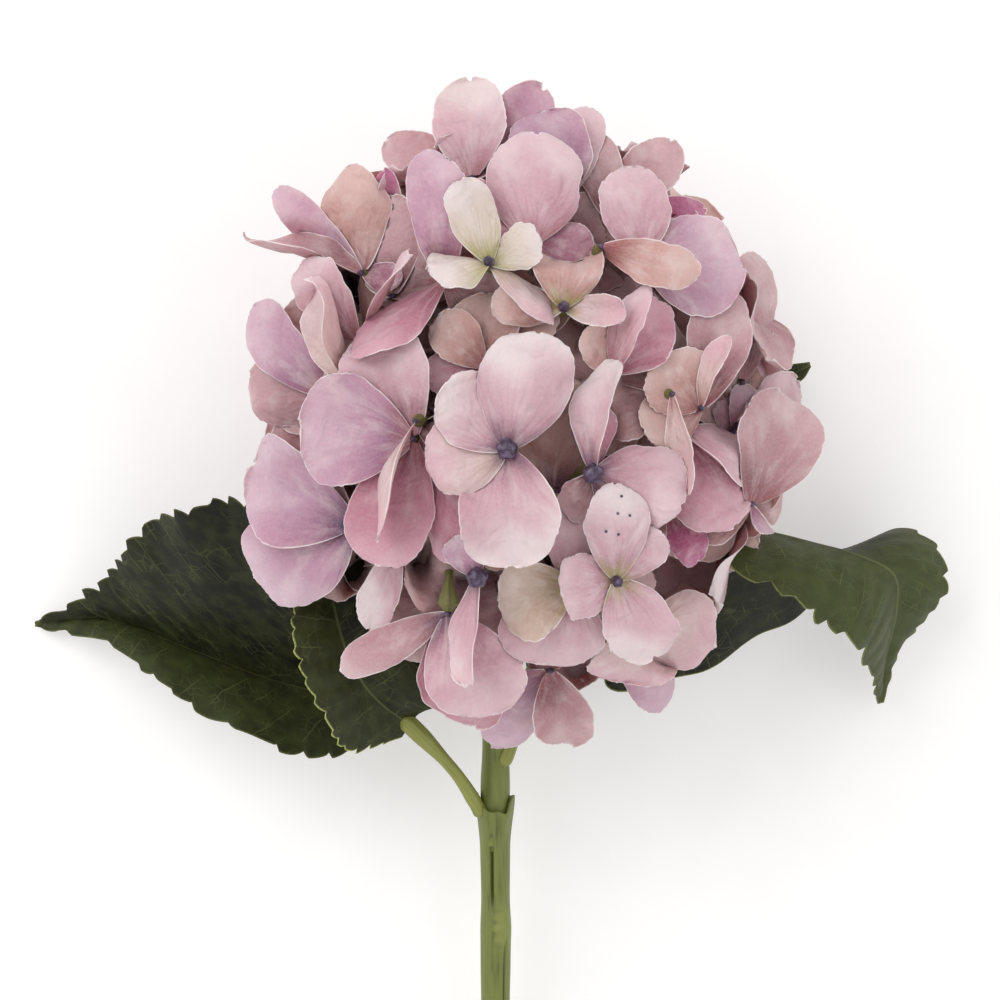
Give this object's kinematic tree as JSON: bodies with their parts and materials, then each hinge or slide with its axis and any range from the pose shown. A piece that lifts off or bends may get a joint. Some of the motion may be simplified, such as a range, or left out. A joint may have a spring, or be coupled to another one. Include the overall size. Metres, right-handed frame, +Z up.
{
  "type": "artificial hydrangea stem",
  "caption": "Cut artificial hydrangea: a round head of overlapping pink fabric petals on a moulded green stem with serrated leaves, lying on its back.",
  "frame": {"origin": "middle of the footprint, on the surface that the stem lies on", "axes": "+Z up from the surface towards the side shown, +Y along the stem from the cut end towards the top of the head, +X to the right when the cut end is nearest"},
  "size_m": [0.2338, 0.3306, 0.1242],
  "materials": {
    "stem": "moulded green plastic, soft sheen",
    "branch": "moulded olive-green plastic",
    "leaf_stalk": "moulded pale yellow-green plastic",
    "leaf": "coated leaf fabric, dark green with fine pale veins",
    "petal_pink": "satin polyester, pale pink",
    "petal_cream": "satin polyester, cream with pink shading",
    "petal_dusty": "satin polyester, dusty rose",
    "petal_lilac": "satin polyester, lilac pink",
    "petal_rose": "satin polyester, deep rose"
  },
  "bodies": {
    "root": {"upper_stem": "stem", "lower_stem": "stem", "flower_branches": "branch", "leaf_stalk_left": "leaf_stalk", "leaf_stalk_front_left": "leaf_stalk", "leaf_stalk_right": "leaf_stalk", "leaf_stalk_back": "leaf_stalk", "leaf_left": "leaf", "leaf_front_left": "leaf", "leaf_right": "leaf", "leaf_back": "leaf", "flower_01": "petal_pink", "flower_02": "petal_pink", "flower_03": "petal_pink", "flower_04": "petal_cream", "flower_05": "petal_dusty", "flower_06": "petal_pink", "flower_07": "petal_cream", "flower_08": "petal_lilac", "flower_09": "petal_pink", "flower_10": "petal_dusty", "flower_11": "petal_dusty", "flower_12": "petal_lilac", "flower_13": "petal_lilac", "flower_14": "petal_rose", "flower_15": "petal_dusty", "flower_16": "petal_dusty", "flower_17": "petal_pink", "flower_18": "petal_rose", "flower_19": "petal_cream", "flower_20": "petal_lilac", "flower_21": "petal_cream", "flower_22": "petal_pink", "flower_23": "petal_dusty", "flower_24": "petal_lilac", "flower_25": "petal_dusty", "flower_26": "petal_rose", "flower_27": "petal_pink", "flower_28": "petal_dusty", "flower_29": "petal_pink", "flower_30": "petal_rose", "flower_31": "petal_lilac", "flower_32": "petal_cream", "flower_33": "petal_rose", "flower_34": "petal_pink", "flower_35": "petal_dusty", "flower_36": "petal_rose", "flower_37": "petal_pink", "flower_38": "petal_dusty", "flower_39": "petal_dusty", "flower_40": "petal_pink", "flower_41": "petal_dusty", "flower_42": "petal_dusty", "flower_43": "petal_pink", "flower_44": "petal_dusty", "flower_45": "petal_dusty", "flower_46": "petal_pink", "flower_47": "petal_dusty", "flower_48": "petal_dusty"}
  },
  "joints": []
}
